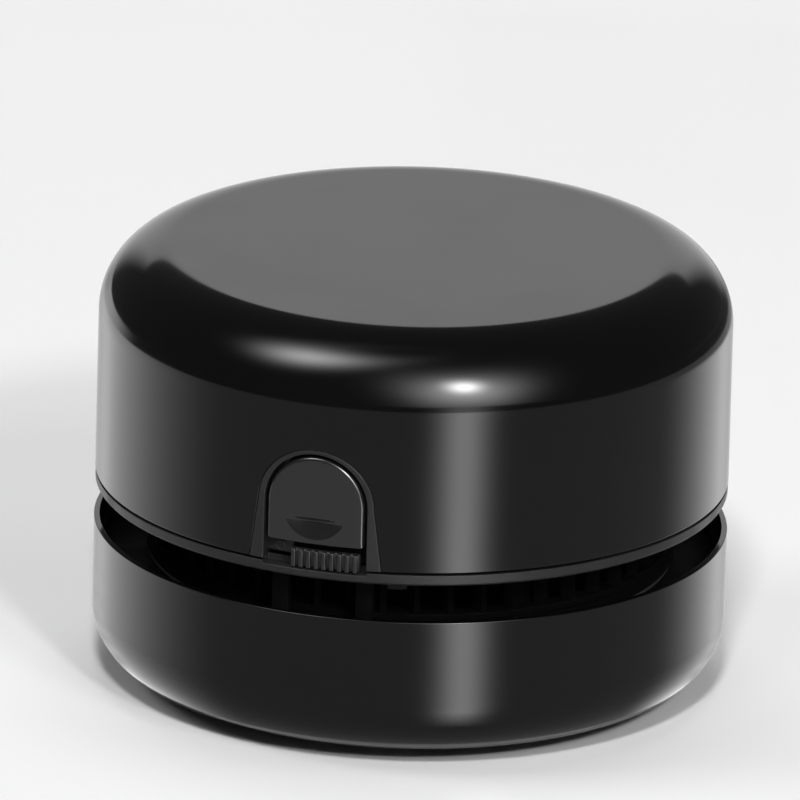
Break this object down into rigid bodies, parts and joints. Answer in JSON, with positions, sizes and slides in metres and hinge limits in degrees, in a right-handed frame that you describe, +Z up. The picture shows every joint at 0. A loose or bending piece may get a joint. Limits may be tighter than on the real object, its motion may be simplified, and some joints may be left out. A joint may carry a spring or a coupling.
{
  "type": "desktop mini vacuum cleaner",
  "caption": "Round table-top crumb vacuum: gloss motor unit over an open waist and a dust cup, with an arched release button and a ribbed thumb slide.",
  "frame": {"origin": "on the table, under the middle of the round casing", "axes": "+Z up, -Y towards the latch station with the release button and the thumb slide, +X to the right as seen from the front"},
  "size_m": [0.09, 0.09, 0.0635],
  "materials": {
    "gloss_black": "gloss",
    "button_black": "satin gloss",
    "ring_grey": "fine matt",
    "slide_grey": "fine matt",
    "inner_black": "matt",
    "pad_felt": "soft",
    "brush_nylon": "bristle",
    "seal_rubber": "matt",
    "filter_plastic": "fine matt",
    "filter_cloth": "non-woven cloth",
    "screw_steel": "zinc plated",
    "motor_steel": "plated",
    "endbell_white": "satin",
    "cell_jacket": "printed sleeve",
    "contact_nickel": "nickel plated",
    "spring_steel": "drawn wire",
    "switch_metal": "tinned",
    "board_green": "laminate",
    "nub_white": "satin",
    "lead_red": "soft insulation",
    "lead_black": "soft insulation",
    "impeller_white": "satin"
  },
  "bodies": {
    "dust_base": {"dust_cup": "gloss_black", "cup_ring": "inner_black", "base_plate": "inner_black", "inlet_throat": "inner_black", "brush_strips": "brush_nylon", "glide_pads": "pad_felt", "base_screws": "screw_steel"},
    "motor_unit": {"chassis": "ring_grey", "exhaust_grille": "inner_black", "fan_plate": "inner_black", "fan_plate_screws": "screw_steel", "seal_ring": "seal_rubber", "filter_frame": "filter_plastic", "filter_cloth": "filter_cloth", "motor_can": "motor_steel", "motor_endbell": "endbell_white", "motor_screws": "screw_steel", "cell_cradles": "inner_black", "cell_left": "cell_jacket", "cell_right": "cell_jacket", "cell_contacts": "contact_nickel", "lead_red": "lead_red", "leads_black": "lead_black", "latch_bezel": "ring_grey", "latch_bracket": "inner_black", "bracket_screws": "screw_steel", "button_spring": "spring_steel", "slide_switch": "switch_metal", "switch_board": "board_green"},
    "cover": {"top_cover": "gloss_black"},
    "release": {"release_button": "button_black", "latch_hook": "inner_black"},
    "power_slide": {"thumb_slide": "slide_grey", "switch_nub": "nub_white"},
    "fan_rotor": {"impeller": "impeller_white", "motor_shaft": "screw_steel"}
  },
  "joints": [
    {"name": "lift_off", "type": "slide", "parent": "dust_base", "child": "motor_unit", "axis": [0, 0, 1], "range_m": [0, 0.03]},
    {"name": "cover_lift", "type": "slide", "parent": "motor_unit", "child": "cover", "axis": [0, 0, 1], "range_m": [0, 0.036]},
    {"name": "button_press", "type": "slide", "parent": "motor_unit", "child": "release", "axis": [0, 1, 0], "range_m": [0, 0.0014], "stiffness_N_per_m": 500, "springref_m": -0.0015, "deforming": ["button_spring"]},
    {"name": "power_switch", "type": "slide", "parent": "motor_unit", "child": "power_slide", "axis": [-1, 0, 0], "range_m": [0, 0.0036]},
    {"name": "fan_spin", "type": "hinge", "parent": "motor_unit", "child": "fan_rotor", "pos_m": [0, 0, 0.0245], "axis": [0, 0, 1], "continuous": true}
  ]
}
